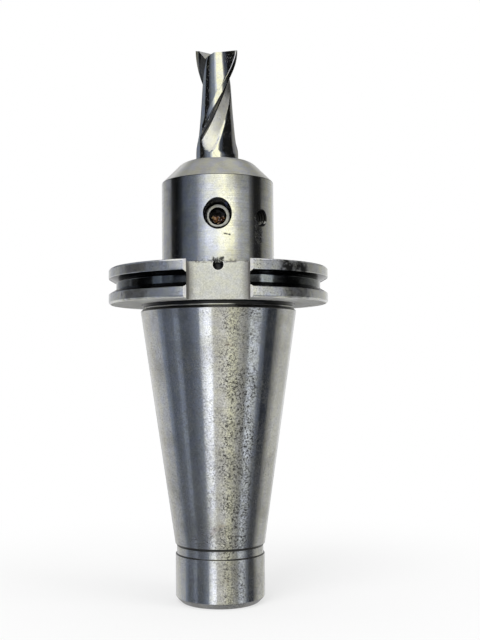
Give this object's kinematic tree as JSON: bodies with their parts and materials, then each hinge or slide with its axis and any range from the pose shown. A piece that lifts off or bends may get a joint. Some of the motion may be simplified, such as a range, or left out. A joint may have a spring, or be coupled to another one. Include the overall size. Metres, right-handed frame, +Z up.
{
  "type": "side lock end mill holder",
  "caption": "Side lock end mill holder: a steep taper with a pilot tail and gripper flange, whose set screws hold a helical end mill by the flat on its shank.",
  "frame": {"origin": "the taper's axis at the flat end of the pilot tail, on which the holder stands", "axes": "+Z up along the axis through the cutter's tip; -Y is the front, which the lock screw and one drive slot face; +X to the right"},
  "size_m": [0.0984, 0.0942, 0.248],
  "materials": {
    "holder_steel": "ground and turned steel, satin, lightly stained",
    "cutter_steel": "finely ground, bright",
    "screw_steel": "dull oxidised steel"
  },
  "bodies": {
    "holder": {"holder_body": "holder_steel", "end_mill": "cutter_steel"},
    "lock_screw_travel": {"lock_screw": "screw_steel"},
    "side_screw_travel": {"side_screw": "screw_steel"}
  },
  "joints": [
    {"name": "lock_screw_slide", "type": "slide", "parent": "holder", "child": "lock_screw_travel", "axis": [0, -1, 0], "range_m": [0, 0.0085]},
    {"name": "side_screw_slide", "type": "slide", "parent": "holder", "child": "side_screw_travel", "axis": [0.766, -0.6428, 0], "range_m": [0, 0.0057]}
  ]
}
